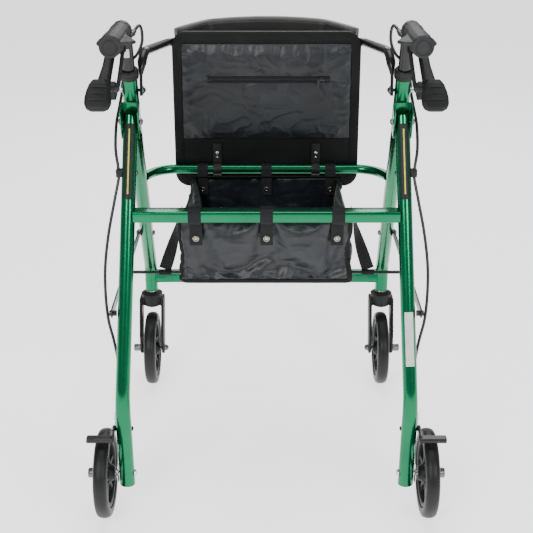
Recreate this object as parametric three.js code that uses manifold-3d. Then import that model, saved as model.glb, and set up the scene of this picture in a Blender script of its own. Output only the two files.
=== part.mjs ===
// Rollator walker: an A-frame of two bent front legs and two hinged rear legs on four wheels,
// with a flip-up seat, a backrest, a tote bag, height-adjustable handles and cable brakes.
// Millimetres, +Z up, +Y the way it travels, X = 0 the middle plane, the floor at Z = 0.
import * as THREE from "three";
import { mergeVertices } from "three/addons/utils/BufferGeometryUtils.js";
import Module from "manifold-3d";

const wasm = await Module();
wasm.setup();

// Driving dimensions
const gap = 0.3;
const wheelRadius = 76;
const tyreWidth = 24;
const tyreDepth = 17;
const frontTubeRadius = 13;
const rearTubeRadius = 12;
const handleTubeRadius = 10.5;
const hoopRadius = 8.5;
const backTubeRadius = 7.5;
const rodRadius = 3;
const cableRadius = 2.5;

const upperX = 221;
const legTop = { y: -88.3, z: 722 };
const legElbow = { y: -58.3, z: 635 };
const casterStem = { x: 240.5, y: 267 };
const legFoot = { bendZ: 250, z: 200 };
const foldPivot = { y: -97, z: 652 };
const rearKnee = { x: 236.5, y: -258, z: 215 };
const rearWheel = { x: 274, y: -239.5 };
const rearFoot = { x: 238, y: -236.5, z: 53 };
const casterTrail = 27.5;

const braceZ = 359;
const frontLinkLength = 204;
const frontLinkX = 248.6;
const rearLinkX = 251.5;
const linkThickness = 2.5;

const seatAxis = { y: 92.6, z: 514 };
const seatWidth = 335;
const seatBottom = 478;
const seatTop = 762;
const boardFront = 104;
const boardThickness = 8;
const padThickness = 22;
const clipWidth = 16;

const beam = { y: -149, z: 509, depth: 28, height: 19 };
const gripZ = 808;
const gripEndY = -288;
const bagHalfWidth = 145;
const brakePivot = { y: -247, z: 167 };
const cableClip = { x: 241, z: 574 };
const bag = { nearY: -133, farY: 83, bottom: 389, top: 500, wall: 3 };

const finishes = {
  greenPaint: { color: 0x0b5a3a, roughness: 0.25, metalness: 0.6 },
  blackPaint: { color: 0x101112, roughness: 0.3, metalness: 0.4 },
  blackPlastic: { color: 0x1a1b1d, roughness: 0.5, metalness: 0 },
  tyre: { color: 0x1c1d1f, roughness: 0.55, metalness: 0 },
  steel: { color: 0x8c9094, roughness: 0.3, metalness: 1 },
  fabric: { color: 0x17191d, roughness: 0.6, metalness: 0 },
  vinyl: { color: 0x131416, roughness: 0.5, metalness: 0 },
};

const walker = new THREE.Group();
const unitX = new THREE.Vector3(1, 0, 0);
const unitY = new THREE.Vector3(0, 1, 0);
const unitZ = new THREE.Vector3(0, 0, 1);
const sides = [["left", -1], ["right", 1]];

function at(x, y, z) {
  return new THREE.Vector3(x, y, z);
}

function addPart(name, geometry, finish) {
  const mesh = new THREE.Mesh(geometry, new THREE.MeshStandardMaterial(finishes[finish]));
  mesh.name = name;
  walker.add(mesh);
  return mesh;
}

// Joining and cutting
function solidOf(geometry) {
  const bare = geometry.clone();
  bare.deleteAttribute("normal");
  bare.deleteAttribute("uv");
  const merged = mergeVertices(bare, 1e-3);
  const corners = merged.index.array;
  const kept = [];
  for (let i = 0; i < corners.length; i += 3) {
    const [a, b, c] = corners.slice(i, i + 3);
    if (a !== b && b !== c && c !== a) kept.push(a, b, c);
  }
  const vertProperties = Float32Array.from(merged.attributes.position.array);
  const triVerts = Uint32Array.from(kept);
  return new wasm.Manifold(new wasm.Mesh({ numProp: 3, vertProperties, triVerts }));
}

function geometryOf(solid) {
  const { vertProperties, triVerts } = solid.getMesh();
  const geometry = new THREE.BufferGeometry();
  geometry.setAttribute("position", new THREE.BufferAttribute(vertProperties, 3));
  geometry.setIndex(new THREE.BufferAttribute(triVerts, 1));
  geometry.computeVertexNormals();
  return geometry;
}

function join(...geometries) {
  return geometryOf(geometries.map(solidOf).reduce((whole, next) => whole.add(next)));
}

function cut(geometry, ...tools) {
  return geometryOf(tools.map(solidOf).reduce((whole, tool) => whole.subtract(tool), solidOf(geometry)));
}

// Outlines are lists of [u, v] points, counter-clockwise
function ring(radius, count, centreU = 0, centreV = 0) {
  return Array.from({ length: count }, (_, i) => {
    const angle = (2 * Math.PI * i) / count;
    return [centreU + radius * Math.cos(angle), centreV + radius * Math.sin(angle)];
  });
}

function roundedBox(centreU, centreV, width, height, radius, cornerSteps = 3) {
  const outline = [];
  for (let corner = 0; corner < 4; corner++) {
    const signU = corner === 0 || corner === 3 ? 1 : -1;
    const signV = corner < 2 ? 1 : -1;
    for (let step = 0; step <= cornerSteps; step++) {
      const angle = (Math.PI / 2) * (corner + step / cornerSteps);
      outline.push([
        centreU + signU * (width / 2 - radius) + radius * Math.cos(angle),
        centreV + signV * (height / 2 - radius) + radius * Math.sin(angle),
      ]);
    }
  }
  return outline;
}

// A bar with round ends that runs from one [u, v] point to another
function stadium(from, to, radius, endSteps = 6) {
  const heading = Math.atan2(to[1] - from[1], to[0] - from[0]);
  return [[to, heading - Math.PI / 2], [from, heading + Math.PI / 2]].flatMap(([centre, start]) =>
    Array.from({ length: endSteps + 1 }, (_, i) => {
      const angle = start + (Math.PI * i) / endSteps;
      return [centre[0] + radius * Math.cos(angle), centre[1] + radius * Math.sin(angle)];
    }));
}

function shapeOf(outline, holes = []) {
  const points = (list) => list.map(([u, v]) => new THREE.Vector2(u, v));
  const shape = new THREE.Shape(points(outline));
  shape.holes = holes.map((hole) => new THREE.Path(points(hole)));
  return shape;
}

function extruded(outline, holes, from, to, axisU, axisV, axisW) {
  const depth = Math.abs(to - from);
  const geometry = new THREE.ExtrudeGeometry(shapeOf(outline, holes), { depth, bevelEnabled: false });
  geometry.translate(0, 0, Math.min(from, to));
  return geometry.applyMatrix4(new THREE.Matrix4().makeBasis(axisU, axisV, axisW));
}

const alongX = (outlineYZ, from, to, holes) => extruded(outlineYZ, holes, from, to, unitY, unitZ, unitX);
const alongZ = (outlineXY, from, to, holes) => extruded(outlineXY, holes, from, to, unitX, unitY, unitZ);
const alongY = (outlineZX, from, to, holes) => extruded(outlineZX, holes, from, to, unitZ, unitX, unitY);

// A path of chosen points, with one step of the tube at each
class Route extends THREE.Curve {
  constructor(points) {
    super();
    this.points = points;
  }

  indexAt(u) {
    return Math.round(u * (this.points.length - 1));
  }

  getPointAt(u) {
    return this.points[this.indexAt(u)].clone();
  }

  getTangentAt(u) {
    const i = this.indexAt(u);
    const here = this.points[i];
    const before = this.points[i - 1];
    const after = this.points[i + 1];
    const tangent = new THREE.Vector3();
    if (before) tangent.add(here.clone().sub(before).normalize());
    if (after) tangent.add(after.clone().sub(here).normalize());
    return tangent.normalize();
  }
}

// Straight stretches between corners, each corner rounded to the bend radius
function bend(corners, radius, steps = 3) {
  const points = [corners[0]];
  for (let i = 1; i < corners.length - 1; i++) {
    const corner = corners[i];
    const back = corners[i - 1].clone().sub(corner).normalize();
    const ahead = corners[i + 1].clone().sub(corner).normalize();
    const halfAngle = back.angleTo(ahead) / 2;
    const middle = back.clone().add(ahead).normalize();
    const centre = corner.clone().addScaledVector(middle, radius / Math.sin(halfAngle));
    const start = corner.clone().addScaledVector(back, radius / Math.tan(halfAngle)).sub(centre);
    const end = corner.clone().addScaledVector(ahead, radius / Math.tan(halfAngle)).sub(centre);
    const turn = Math.PI - 2 * halfAngle;
    for (let step = 0; step <= steps; step++) {
      const part = step / steps;
      points.push(centre.clone()
        .addScaledVector(start, Math.sin((1 - part) * turn) / Math.sin(turn))
        .addScaledVector(end, Math.sin(part * turn) / Math.sin(turn)));
    }
  }
  points.push(corners.at(-1));
  return points;
}

function sweep(outline, points) {
  const extrudePath = new Route(points);
  return new THREE.ExtrudeGeometry(shapeOf(outline), {
    steps: points.length - 1, bevelEnabled: false, extrudePath,
  });
}

const tube = (points, radius, count = 12) => sweep(ring(radius, count), points);
const bar = (from, to, radius, count = 10) => tube([from, to], radius, count);

// A turned shape about an axis along X: its profile is a list of [distance along X, radius]
function turned(profile, centre, count, side = 1) {
  const points = profile.map(([x, radius]) => new THREE.Vector2(radius, x));
  const geometry = new THREE.LatheGeometry(points, count);
  geometry.rotateZ(-Math.PI / 2);
  if (side < 0) geometry.rotateY(Math.PI);
  return geometry.translate(centre.x, centre.y, centre.z);
}

// A turned shape about a vertical axis: its profile is a list of [height, radius]
function turnedUp(profile, centre, count) {
  const points = profile.map(([z, radius]) => new THREE.Vector2(radius, z));
  const geometry = new THREE.LatheGeometry(points, count);
  return geometry.rotateX(Math.PI / 2).translate(centre.x, centre.y, centre.z);
}

// Routes of the frame's tubes
const upDirection = at(0, legTop.y - legElbow.y, legTop.z - legElbow.z).normalize();
const upperLean = Math.atan2(-upDirection.y, upDirection.z);
const upperAxisAt = (side, z) => at(side * upperX, 0, z)
  .setY(legElbow.y + ((z - legElbow.z) * upDirection.y) / upDirection.z);

const frontLegRoute = (side) => bend([
  at(side * upperX, legTop.y, legTop.z),
  at(side * upperX, legElbow.y, legElbow.z),
  at(side * casterStem.x, casterStem.y, legFoot.bendZ),
  at(side * casterStem.x, casterStem.y, legFoot.z),
], 60);

function frontLegAt(side, z) {
  const part = (legElbow.z - z) / (legElbow.z - legFoot.bendZ);
  return at(
    side * (upperX + part * (casterStem.x - upperX)),
    legElbow.y + part * (casterStem.y - legElbow.y),
    z,
  );
}

function rearLegAt(side, z) {
  const part = (foldPivot.z - z) / (foldPivot.z - rearKnee.z);
  return at(
    side * (upperX + part * (rearKnee.x - upperX)),
    foldPivot.y + part * (rearKnee.y - foldPivot.y),
    z,
  );
}

const rearLegRoute = (side) => bend([
  rearLegAt(side, foldPivot.z + 9),
  at(side * rearKnee.x, rearKnee.y, rearKnee.z),
  at(side * rearFoot.x, rearFoot.y, rearFoot.z),
], 120);

// Front frame: legs, crossbar, seat hoop and the brackets the rear legs hang from
const stemRadius = 6;
const pinRadius = 3;
const heightBoltZ = 700;
const heightTravel = 60;
const handleBottomZ = 642;
const bracePivot = frontLegAt(1, braceZ);
const rearPivot = rearLegAt(1, braceZ);
const kneeY = bracePivot.y - frontLinkLength;

function frontLeg(side) {
  const heightBolt = upperAxisAt(side, heightBoltZ);
  return cut(
    tube(frontLegRoute(side), frontTubeRadius),
    bar(upperAxisAt(side, handleBottomZ - 3), upperAxisAt(side, legTop.z + 5), handleTubeRadius + gap, 12),
    bar(at(side * casterStem.x, casterStem.y, 190), at(side * casterStem.x, casterStem.y, 236),
      stemRadius + 2 * gap, 14),
    bar(at(side * 200, bracePivot.y, braceZ), at(side * 260, bracePivot.y, braceZ), pinRadius + gap, 10),
    bar(at(side * 200, heightBolt.y, heightBoltZ), at(side * 240, heightBolt.y, heightBoltZ),
      pinRadius + gap, 10),
  );
}

function lowerCrossbar() {
  const outline = roundedBox(casterStem.y, 229, 16, 26, 4);
  const legs = sides.map(([, side]) => tube(frontLegRoute(side), frontTubeRadius + gap));
  return cut(alongX(outline, -casterStem.x, casterStem.x), ...legs);
}

function seatHoop() {
  const ends = sides.map(([, side]) => frontLegAt(side, seatAxis.z));
  const route = bend([
    ends[0],
    at(-196, seatAxis.y, seatAxis.z),
    at(196, seatAxis.y, seatAxis.z),
    ends[1],
  ], 55, 5);
  const legs = sides.map(([, side]) => tube(frontLegRoute(side), frontTubeRadius + gap));
  return cut(tube(route, hoopRadius), ...legs);
}

// A channel behind the front leg: its two ears hold the rear leg's pivot bolt
function pivotBracket(side) {
  const back = -frontTubeRadius - gap;
  const outline = [
    [-15.5, back], [-15.5, -46], [-13, -46], [-13, back - 2.5],
    [13, back - 2.5], [13, -46], [15.5, -46], [15.5, back],
  ];
  const channel = alongZ(outline, -13, 37);
  channel.rotateX(upperLean);
  const centre = upperAxisAt(side, foldPivot.z);
  channel.translate(centre.x, centre.y, centre.z);
  return cut(channel, bar(at(centre.x - 20, foldPivot.y, foldPivot.z),
    at(centre.x + 20, foldPivot.y, foldPivot.z), pinRadius + gap, 10));
}

function throughBolt(fromX, toX, y, z, headRadius, side) {
  const inner = fromX - 4.5;
  const outer = toX + 4.5;
  return turned([
    [inner, 0], [inner + 1, headRadius * 0.7], [fromX, headRadius], [fromX, pinRadius],
    [toX, pinRadius], [toX, headRadius], [outer - 1, headRadius * 0.7], [outer, 0],
  ], at(0, y, z), 8, side);
}

for (const [name, side] of sides) {
  addPart(`front_leg_${name}`, frontLeg(side), "greenPaint");
  addPart(`pivot_bracket_${name}`, pivotBracket(side), "greenPaint");
  addPart(`pivot_bolt_${name}`,
    throughBolt(upperX - 15.9, upperX + 15.9, foldPivot.y, foldPivot.z, 5, side), "blackPaint");
  addPart(`brace_bolt_${name}`,
    throughBolt(bracePivot.x - 14, frontLinkX + linkThickness + gap, bracePivot.y, braceZ, 6, side),
    "blackPaint");
}
addPart("lower_crossbar", lowerCrossbar(), "greenPaint");
addPart("seat_hoop", seatHoop(), "greenPaint");

// Rear frame: legs, the beam the seat rests on, axles, cable clips and brake arms
function rearLeg(side) {
  const through = (y, z, radius) => bar(at(side * 200, y, z), at(side * 270, y, z), radius + gap, 10);
  return cut(
    tube(rearLegRoute(side), rearTubeRadius),
    through(foldPivot.y, foldPivot.z, pinRadius),
    through(rearWheel.y, wheelRadius, 4),
    through(brakePivot.y, brakePivot.z, pinRadius),
  );
}

function rearBeam() {
  const outline = roundedBox(beam.y, beam.z, beam.depth, beam.height, 4);
  const legs = sides.map(([, side]) => tube(rearLegRoute(side), rearTubeRadius + gap));
  return cut(alongX(outline, -upperX - 3, upperX + 3), ...legs);
}

const rearAxleProfile = [
  [220, 0], [222, 4], [225, 6.5], [225, 4], [251.5, 4], [251.5, 16], [253.3, 16], [253.3, 4],
  [291, 4], [291, 8.5], [303, 8.5], [304, 7.5], [304, 0],
];

// The arm hangs from its bolt on the leg and carries a bar across the top of the tyre
function brakeArm(side) {
  const pivot = [brakePivot.y, brakePivot.z];
  const plate = alongX(stadium(pivot, [-266, 161], 6), side * 252, side * 255);
  const shoe = alongX(roundedBox(-268, 159, 16, 8, 2, 2), side * 252, side * 297);
  const bolt = turned([
    [221, 0], [222, 3.5], [225, 4.5], [225, pinRadius], [251, pinRadius], [251, 5], [256, 5],
    [258, 3.5], [258, 0],
  ], at(0, ...pivot), 12, side);
  return join(plate, shoe, bolt);
}

function clipBlock(side) {
  const leg = rearLegAt(side, cableClip.z);
  const block = alongX(roundedBox(leg.y, leg.z, 13, 13, 2, 2), leg.x, leg.x + side * 21);
  const stud = bar(at(leg.x, leg.y, leg.z), at(leg.x - side * 16, leg.y, leg.z), 4, 10);
  const cable = bar(at(side * cableClip.x, leg.y, cableClip.z - 24),
    at(side * cableClip.x, leg.y, cableClip.z + 26), cableRadius + 1.9);
  const around = tube(rearLegRoute(side), rearTubeRadius + gap);
  return cut(block, cable, around, stud);
}

for (const [name, side] of sides) {
  addPart(`rear_leg_${name}`, rearLeg(side), "greenPaint");
  addPart(`rear_axle_${name}`, turned(rearAxleProfile, at(0, rearWheel.y, wheelRadius), 12, side), "steel");
  addPart(`brake_arm_${name}`, brakeArm(side), "blackPaint");
  addPart(`cable_clip_${name}`, clipBlock(side), "blackPlastic");
}
addPart("rear_beam", rearBeam(), "greenPaint");

// Knee brace: a flat link from each leg, joined at the cross rod
function frontLink(side) {
  const knee = [kneeY, braceZ];
  const pivot = [bracePivot.y, braceZ];
  return alongX(stadium(knee, pivot, 8), side * frontLinkX, side * (frontLinkX + linkThickness),
    [ring(pinRadius + gap, 10, ...knee), ring(pinRadius + gap, 10, ...pivot)]);
}

function rearLink(side) {
  const knee = [kneeY, braceZ];
  const pivot = [rearPivot.y, braceZ];
  const plate = alongX(stadium(pivot, knee, 8), side * rearLinkX, side * (rearLinkX + linkThickness),
    [ring(pinRadius + gap, 10, ...knee)]);
  const pin = bar(at(side * (rearPivot.x + rearTubeRadius + 1.5), rearPivot.y, braceZ),
    at(side * (rearLinkX + linkThickness + 3), rearPivot.y, braceZ), 5);
  return join(plate, pin);
}

const rodEnd = rearLinkX + linkThickness + gap;
const rodHead = [[rodEnd, rodRadius], [rodEnd, 5], [rodEnd + 3, 4], [rodEnd + 3, 0]];
const rodProfile = [...rodHead.toReversed().map(([x, radius]) => [-x, radius]), ...rodHead];
addPart("cross_rod", turned(rodProfile, at(0, kneeY, braceZ), 12), "blackPaint");
for (const [name, side] of sides) {
  addPart(`front_link_${name}`, frontLink(side), "blackPaint");
  addPart(`rear_link_${name}`, rearLink(side), "blackPaint");
}

// Wheels
const wheelSides = 28;
const tyreInner = wheelRadius - tyreDepth;
const tyreProfile = [
  [-tyreWidth / 2 + 3, tyreInner], [-tyreWidth / 2, tyreInner + 5], [-tyreWidth / 2 + 1, wheelRadius - 6],
  [-tyreWidth / 2 + 5, wheelRadius - 1.5], [0, wheelRadius], [tyreWidth / 2 - 5, wheelRadius - 1.5],
  [tyreWidth / 2 - 1, wheelRadius - 6], [tyreWidth / 2, tyreInner + 5], [tyreWidth / 2 - 3, tyreInner],
  [-tyreWidth / 2 + 3, tyreInner],
];

function rim(centre, hubWidth) {
  const outer = tyreInner - gap;
  const felloe = turned([
    [-8.5, outer - 7], [-8.5, outer], [8.5, outer], [8.5, outer - 7], [-8.5, outer - 7],
  ], centre, wheelSides);
  const hub = turned([
    [-hubWidth / 2, 4 + gap], [-hubWidth / 2, 12], [-8, 16], [8, 16], [hubWidth / 2, 12],
    [hubWidth / 2, 4 + gap], [-hubWidth / 2, 4 + gap],
  ], centre, 12);
  const spokes = Array.from({ length: 6 }, (_, i) => {
    const spoke = alongX(stadium([14, 0], [55, 0], 4.5, 1), -4, 4);
    return spoke.rotateX((Math.PI * i) / 3).translate(centre.x, centre.y, centre.z);
  });
  return join(felloe, hub, ...spokes);
}

function addWheel(name, centre, hubWidth) {
  const kind = name.split("_");
  addPart(`${kind[0]}_tyre_${kind[1]}`, turned(tyreProfile, centre, wheelSides), "tyre");
  addPart(`${kind[0]}_rim_${kind[1]}`, rim(centre, hubWidth), "blackPlastic");
}

for (const [name, side] of sides) {
  addWheel(`rear_${name}`, at(side * rearWheel.x, rearWheel.y, wheelRadius), 32);
  addWheel(`caster_${name}`, at(side * casterStem.x, casterStem.y - casterTrail, wheelRadius), 30);
}

// Casters: a forked leg each side of the wheel under a round crown, with its stem up the front leg
function casterFork(side) {
  const axleY = casterStem.y - casterTrail;
  const stem = at(side * casterStem.x, casterStem.y, 0);
  const crown = turnedUp([
    [163, 0], [163, 15], [168, 21.5], [190, 21.5], [193, 18], [196, 12], [199, stemRadius],
    [230, stemRadius], [230, 0],
  ], stem, 14);
  const arm = [
    [axleY - 12, 70], [axleY, 62], [axleY + 12, 68], [axleY + 22, 100], [casterStem.y + 19, 165],
    [casterStem.y + 16, 182], [casterStem.y - 16, 182], [casterStem.y - 20, 168], [axleY - 15, 110],
  ];
  const cheek = (offset) => alongX(arm, stem.x + offset, stem.x + offset + 6);
  const hole = bar(at(stem.x - 40, axleY, wheelRadius), at(stem.x + 40, axleY, wheelRadius), 4 + gap);
  return cut(join(crown, cheek(-25.5), cheek(19.5)), hole);
}

const casterAxleProfile = [
  [-34, 0], [-32, 5], [-26, 7], [-26, 4], [26, 4], [26, 7.5], [39, 7.5], [40, 6.5], [40, 0],
];

for (const [name, side] of sides) {
  const axle = at(side * casterStem.x, casterStem.y - casterTrail, wheelRadius);
  addPart(`caster_fork_${name}`, casterFork(side), "blackPlastic");
  addPart(`caster_axle_${name}`, turned(casterAxleProfile, axle, 10, side), "steel");
}

// Handles: a bent tube that slides in the front leg, with its grip, brake clamp and lever
const handleCorner = upperAxisAt(1, gripZ);
const slotLength = heightTravel + 2 * pinRadius;

function handleTube(side) {
  const route = bend([
    upperAxisAt(side, handleBottomZ),
    upperAxisAt(side, gripZ),
    at(side * upperX, gripEndY + 5, gripZ),
  ], 32, 4);
  const low = [0, -slotLength + pinRadius];
  const slot = alongX(stadium(low, [0, 0], pinRadius + gap, 4), -20, 20);
  const centre = upperAxisAt(side, heightBoltZ);
  slot.rotateX(upperLean).translate(centre.x, centre.y, centre.z);
  return cut(tube(route, handleTubeRadius), slot);
}

function grip(side) {
  const start = -168;
  const profile = [
    [gripEndY, 0], [gripEndY, 13], [gripEndY + 3, 16.5], [gripEndY + 30, 17.5], [start - 40, 16],
    [start - 4, 16.5], [start, 15], [start, 0],
  ];
  const points = profile.map(([y, radius]) => new THREE.Vector2(radius, y));
  const sleeve = new THREE.LatheGeometry(points, 14).translate(side * upperX, 0, gripZ);
  const wing = alongZ([
    [-19, gripEndY + 1], [-10, gripEndY - 0.5], [28, gripEndY + 4], [36, gripEndY + 16],
    [20, gripEndY + 55], [10, gripEndY + 90], [-10, gripEndY + 90], [-19, gripEndY + 30],
  ], 2, 7);
  if (side > 0) wing.rotateY(Math.PI).translate(0, 0, 9);
  wing.translate(side * upperX, 0, gripZ);
  const bore = bar(at(side * upperX, gripEndY + 4.7, gripZ), at(side * upperX, start + 10, gripZ),
    handleTubeRadius + gap, 12);
  return cut(join(sleeve, wing), bore);
}

const leverPivot = { y: -157, z: 781 };

function brakeClamp(side) {
  const body = alongY(ring(16, 12, gripZ, side * upperX), -166, -148);
  const lug = alongX([
    [-150, 800], [-165, 800], [-164, 777], [-157, 773], [-150, 777],
  ].reverse(), side * 222.6, side * 230.4);
  const pin = turned([[215, 0], [215, 5], [217, 5], [217, pinRadius], [247.5, pinRadius], [247.5, 5],
    [250, 5], [250, 0]], at(0, leverPivot.y, leverPivot.z), 12, side);
  const bore = bar(at(side * upperX, -180, gripZ), at(side * upperX, -140, gripZ),
    handleTubeRadius + gap, 12);
  return cut(join(body, lug, pin), bore);
}

function brakeLever(side) {
  const pivot = [leverPivot.y, leverPivot.z];
  const arm = stadium([-243, 733], pivot, 8);
  const hole = bar(at(side * 200, ...pivot), at(side * 260, ...pivot), pinRadius + gap, 10);
  const paddle = alongX([
    [-268, 716], [-262, 712], [-254, 714], [-226, 740], [-229, 748], [-238, 750], [-267, 729],
  ], side * 226.5, side * 267.5);
  const tie = alongX(stadium([-232, 738], [-238, 733], 6, 4), side * 217.3, side * 228);
  const outerArm = alongX(arm, side * 231, side * 247);
  const innerArm = alongX(arm, side * 217.3, side * 222);
  return cut(join(outerArm, innerArm, paddle, tie), hole);
}

function heightCollar(side) {
  const sleeve = new THREE.LatheGeometry([
    [handleTubeRadius + gap, 0], [15.5, 0], [16, 3], [16, 13], [14, 16], [handleTubeRadius + gap, 16],
    [handleTubeRadius + gap, 0],
  ].map(([radius, height]) => new THREE.Vector2(radius, height)), 12);
  const top = at(side * upperX, legTop.y, legTop.z).addScaledVector(upDirection, gap);
  return sleeve.rotateX(Math.PI / 2 + upperLean).translate(top.x, top.y, top.z);
}

// The clamp knob's bolt runs through the leg, the slotted handle tube and the backrest's tab
function heightKnob(side) {
  const centre = upperAxisAt(1, heightBoltZ);
  const bolt = turned([
    [195, 0], [197, 4], [201.2, 5.5], [201.2, pinRadius], [246, pinRadius], [246, 0],
  ], at(0, centre.y, centre.z), 12, side);
  const lobes = ring(9, 3).map(([y, z]) =>
    alongX(ring(8, 8, centre.y + y, centre.z + z), side * 244, side * 258));
  const middle = alongX(ring(11, 12, centre.y, centre.z), side * 243, side * 259);
  return join(bolt, middle, ...lobes);
}

for (const [name, side] of sides) {
  addPart(`handle_tube_${name}`, handleTube(side), "blackPaint");
  addPart(`grip_${name}`, grip(side), "blackPlastic");
  addPart(`brake_clamp_${name}`, brakeClamp(side), "blackPlastic");
  addPart(`brake_lever_${name}`, brakeLever(side), "blackPlastic");
  addPart(`height_collar_${name}`, heightCollar(side), "blackPlastic");
  addPart(`height_knob_${name}`, heightKnob(side), "blackPlastic");
}

// Backrest: a bent tube bolted inside the front legs, with a padded band round its middle
const backPostX = 200.2;
const backBowZ = 735;
const backRoute = bend([
  at(-backPostX, -76, 715),
  at(-backPostX, -72, 758),
  at(-178, 150, backBowZ),
  at(-105, 202, backBowZ),
  at(105, 202, backBowZ),
  at(178, 150, backBowZ),
  at(backPostX, -72, 758),
  at(backPostX, -76, 715),
], 38);
const bandRoute = bend([
  at(-163.4, 160.4, backBowZ),
  at(-105, 202, backBowZ),
  at(105, 202, backBowZ),
  at(163.4, 160.4, backBowZ),
], 38);

function backrestTube() {
  const bolt = upperAxisAt(1, heightBoltZ);
  const tabs = sides.map(([, side]) => cut(
    alongX(stadium([bolt.y, bolt.z], [-76, 722], 8), side * 202, side * 206.5),
    bar(at(side * 190, bolt.y, bolt.z), at(side * 215, bolt.y, bolt.z), pinRadius + gap, 10),
  ));
  return join(tube(backRoute, backTubeRadius), ...tabs);
}

const bandSection = roundedBox(0, 0, 70, 23, 8, 2);
addPart("backrest_tube", backrestTube(), "blackPaint");
addPart("backrest_band", cut(sweep(bandSection, bandRoute), tube(backRoute, backTubeRadius + gap)), "vinyl");

// Seat, flipped up: board, cushion beyond it, pouch on its underside and two clips round the hoop
const seatMiddleZ = (seatBottom + seatTop) / 2;
const seatOutline = roundedBox(seatMiddleZ, 0, seatTop - seatBottom, seatWidth, 26, 4);
const boardBack = boardFront + boardThickness;
addPart("seat_board", alongY(seatOutline, boardFront, boardBack), "vinyl");
addPart("seat_pad", alongY(seatOutline, boardBack + gap, boardBack + gap + padThickness), "vinyl");
addPart("seat_pouch", alongY(roundedBox(655, 0, 168, 300, 8, 2), boardFront - 9, boardFront - gap), "fabric");

function seatClip(x) {
  const low = x - clipWidth / 2;
  const high = x + clipWidth / 2;
  const loop = alongX(ring(hoopRadius + 2.5, 12, seatAxis.y, seatAxis.z), low, high);
  const flange = alongX(roundedBox(boardFront - 1.8, seatAxis.z + 14, 3, 44, 1, 1), low, high);
  const hoop = alongX(ring(hoopRadius + gap, 12, seatAxis.y, seatAxis.z), low - 5, high + 5);
  return cut(join(loop, flange), hoop);
}

for (const [name, side] of sides) {
  addPart(`seat_clip_${name}`, seatClip(side * 90), "blackPlastic");
}

// Tote bag: an open-topped bag between the beam and the hoop, and the two straps that fold the frame
function toteBag() {
  const middleY = (bag.nearY + bag.farY) / 2;
  const depth = bag.farY - bag.nearY;
  const outer = alongZ(roundedBox(0, middleY, 2 * bagHalfWidth, depth, 12), bag.bottom, bag.top);
  const inner = alongZ(roundedBox(0, middleY, 2 * (bagHalfWidth - bag.wall), depth - 2 * bag.wall, 9),
    bag.bottom + bag.wall, bag.top + 10);
  return cut(outer, inner);
}

function pullStrap(side) {
  const foot = [side * 181, 363.5];
  const head = [side * 148, 478];
  const thickness = side * 2;
  const outline = [foot, [foot[0] + thickness, foot[1]], [head[0] + thickness, head[1]], head];
  if (side < 0) outline.reverse();
  const swapped = outline.map(([x, z]) => [z, x]).reverse();
  return alongY(swapped, kneeY - 11, kneeY + 11);
}

addPart("tote_bag", toteBag(), "fabric");
for (const [name, side] of sides) addPart(`pull_strap_${name}`, pullStrap(side), "fabric");

// Brake cables, from the clamp's inner side down past the clip to the brake arm
const clipY = rearLegAt(1, cableClip.z).y;
const cableStops = [
  [203, -157, 814], [199, -146, 824], [198, -130, 824], [199, -112, 806], [206, -96, 780],
  [216, -86, 760], [228, -73, 738], [235, -65, 712], [238, -61, 690], [242, -66, 670],
  [246, -86, 645], [246, -110, 610],
  [cableClip.x, clipY, cableClip.z + 8], [cableClip.x, clipY, cableClip.z - 8],
  [248, -142, 530], [258, -158, 480], [264, -174, 430], [264, -188, 385], [260, -200, 345],
  [252, -208, 312], [246, -216, 280], [244, -226, 245], [247, -236, 210], [251, -240, 184],
];

function brakeCable(side) {
  const stops = cableStops.map(([x, y, z]) => at(side * x, y, z));
  return tube(new THREE.CatmullRomCurve3(stops).getSpacedPoints(36), cableRadius, 6);
}

for (const [name, side] of sides) addPart(`brake_cable_${name}`, brakeCable(side), "blackPlastic");

// The origin stands on the floor under the middle of the walker's box
const box = new THREE.Box3().setFromObject(walker);
walker.position.y = -(box.min.y + box.max.y) / 2;
walker.updateMatrixWorld(true);

export default walker;
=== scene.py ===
import math
import bmesh
import bpy
import numpy as np
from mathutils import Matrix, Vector, noise


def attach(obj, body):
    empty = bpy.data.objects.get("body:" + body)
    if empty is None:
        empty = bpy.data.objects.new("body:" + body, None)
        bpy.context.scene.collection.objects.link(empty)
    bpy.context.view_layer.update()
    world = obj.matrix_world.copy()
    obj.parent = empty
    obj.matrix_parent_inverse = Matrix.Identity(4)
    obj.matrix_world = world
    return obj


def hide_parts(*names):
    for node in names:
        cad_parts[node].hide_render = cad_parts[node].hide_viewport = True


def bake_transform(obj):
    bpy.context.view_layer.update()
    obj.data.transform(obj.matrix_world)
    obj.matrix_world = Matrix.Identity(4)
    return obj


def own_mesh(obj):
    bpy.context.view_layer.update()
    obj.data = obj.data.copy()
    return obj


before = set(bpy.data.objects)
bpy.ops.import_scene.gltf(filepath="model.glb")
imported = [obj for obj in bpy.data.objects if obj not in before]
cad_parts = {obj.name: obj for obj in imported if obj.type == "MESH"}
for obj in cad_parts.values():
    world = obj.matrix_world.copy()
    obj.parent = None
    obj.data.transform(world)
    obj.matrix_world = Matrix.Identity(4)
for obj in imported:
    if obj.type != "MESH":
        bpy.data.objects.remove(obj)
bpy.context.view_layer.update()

sides = {"left": -1, "right": 1}


class Link:
    # a socket that can be written into a sum
    def __init__(self, finish, socket):
        self.finish, self.socket = finish, socket

    def maths(self, operation, first, second):
        return self.finish.add("ShaderNodeMath", {"operation": operation}, {0: first, 1: second})

    def __add__(self, other):
        return self.maths("ADD", self, other)

    def __radd__(self, other):
        return self.maths("ADD", other, self)

    def __mul__(self, other):
        return self.maths("MULTIPLY", self, other)

    def __rmul__(self, other):
        return self.maths("MULTIPLY", other, self)


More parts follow.
